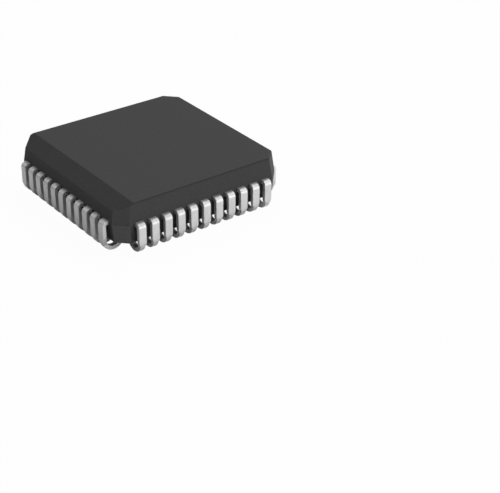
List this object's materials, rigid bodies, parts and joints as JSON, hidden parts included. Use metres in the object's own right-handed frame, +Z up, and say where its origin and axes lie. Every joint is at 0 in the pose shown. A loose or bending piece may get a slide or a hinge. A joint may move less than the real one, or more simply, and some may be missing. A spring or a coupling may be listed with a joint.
{
  "type": "plcc chip",
  "caption": "Square dark plastic chip carrier, bevelled along one top edge, with tin-plated J leads curled under every side for soldering to pads or seating in a socket.",
  "frame": {"origin": "middle of the square that the curled leads touch on the board, so the seating plane is z = 0", "axes": "+Z up out of the board; -X is the bevelled side with lead 1 at its middle; leads count on anticlockwise seen from above"},
  "size_m": [0.0176, 0.0176, 0.0046],
  "materials": {
    "mould_compound": "fine matte moulded epoxy",
    "tinned_lead": "satin tin plating over copper alloy",
    "copper_frame": "bare stamped copper alloy",
    "die_adhesive": "silver-filled epoxy",
    "silicon": "polished silicon",
    "gold_wire": "drawn gold wire"
  },
  "bodies": {
    "root": {"moulded_body": "mould_compound", "die_paddle": "copper_frame", "die_attach": "die_adhesive", "silicon_die": "silicon", "bond_wires": "gold_wire", "lead_01": "tinned_lead", "lead_02": "tinned_lead", "lead_03": "tinned_lead", "lead_04": "tinned_lead", "lead_05": "tinned_lead", "lead_06": "tinned_lead", "lead_07": "tinned_lead", "lead_08": "tinned_lead", "lead_09": "tinned_lead", "lead_10": "tinned_lead", "lead_11": "tinned_lead", "lead_12": "tinned_lead", "lead_13": "tinned_lead", "lead_14": "tinned_lead", "lead_15": "tinned_lead", "lead_16": "tinned_lead", "lead_17": "tinned_lead", "lead_18": "tinned_lead", "lead_19": "tinned_lead", "lead_20": "tinned_lead", "lead_21": "tinned_lead", "lead_22": "tinned_lead", "lead_23": "tinned_lead", "lead_24": "tinned_lead", "lead_25": "tinned_lead", "lead_26": "tinned_lead", "lead_27": "tinned_lead", "lead_28": "tinned_lead", "lead_29": "tinned_lead", "lead_30": "tinned_lead", "lead_31": "tinned_lead", "lead_32": "tinned_lead", "lead_33": "tinned_lead", "lead_34": "tinned_lead", "lead_35": "tinned_lead", "lead_36": "tinned_lead", "lead_37": "tinned_lead", "lead_38": "tinned_lead", "lead_39": "tinned_lead", "lead_40": "tinned_lead", "lead_41": "tinned_lead", "lead_42": "tinned_lead", "lead_43": "tinned_lead", "lead_44": "tinned_lead"}
  },
  "joints": []
}
